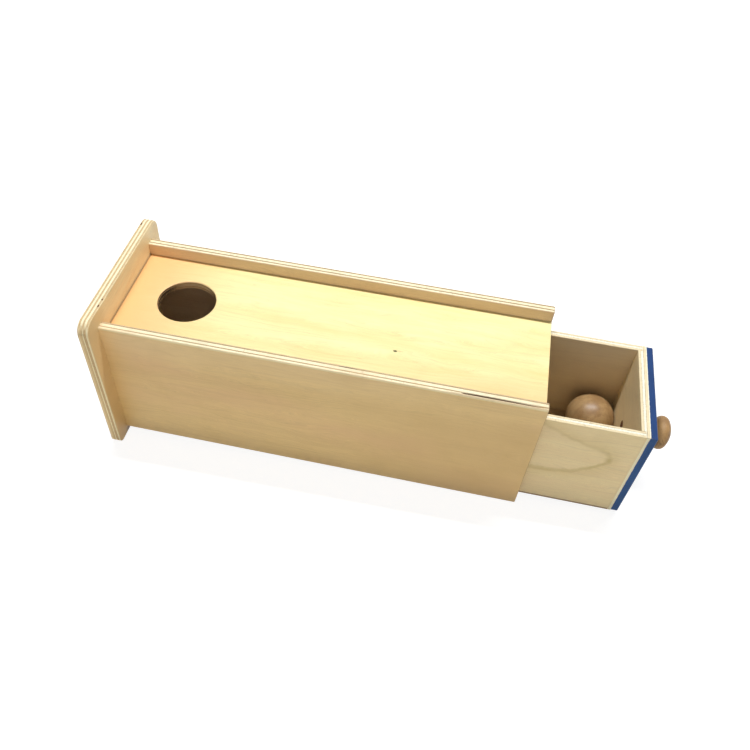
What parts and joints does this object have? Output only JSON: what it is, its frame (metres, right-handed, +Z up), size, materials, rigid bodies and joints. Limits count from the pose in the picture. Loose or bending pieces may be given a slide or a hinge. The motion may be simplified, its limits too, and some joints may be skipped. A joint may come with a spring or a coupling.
{
  "type": "object permanence box",
  "caption": "Plywood tunnel box with a round ball hole in its recessed top, a larger end plate, and a knobbed drawer that slides out with the wooden ball.",
  "frame": {"origin": "middle of the casing's underside, on its lower face, halfway between the end plate and the open mouth", "axes": "+X along the box towards the drawer's mouth, +Z up, +Y to the right of someone facing the drawer's front"},
  "size_m": [0.3592, 0.11, 0.11],
  "materials": {
    "casing_plywood": "clear satin lacquer on pale plywood",
    "drawer_plywood": "sanded pale plywood, thin satin lacquer",
    "blue_paint": "satin blue paint on plywood",
    "turned_wood": "turned hardwood, satin lacquer",
    "screw_steel": "dull plated steel"
  },
  "bodies": {
    "casing": {"end_plate": "casing_plywood", "left_side_panel": "casing_plywood", "right_side_panel": "casing_plywood", "top_panel": "casing_plywood", "bottom_panel": "casing_plywood"},
    "drawer": {"drawer_left_wall": "drawer_plywood", "drawer_right_wall": "drawer_plywood", "drawer_front_wall": "drawer_plywood", "drawer_back_wall": "drawer_plywood", "drawer_floor": "drawer_plywood", "drawer_face": "blue_paint", "knob": "turned_wood", "knob_screw": "screw_steel"},
    "ball": {"ball": "turned_wood"}
  },
  "joints": [
    {"name": "drawer_slide", "type": "slide", "parent": "casing", "child": "drawer", "axis": [1, 0, 0], "range_m": [-0.0646, 0.205]},
    {"name": "ball_lift", "type": "slide", "parent": "drawer", "child": "ball", "axis": [0, 0, 1], "range_m": [0, 0.105]}
  ]
}
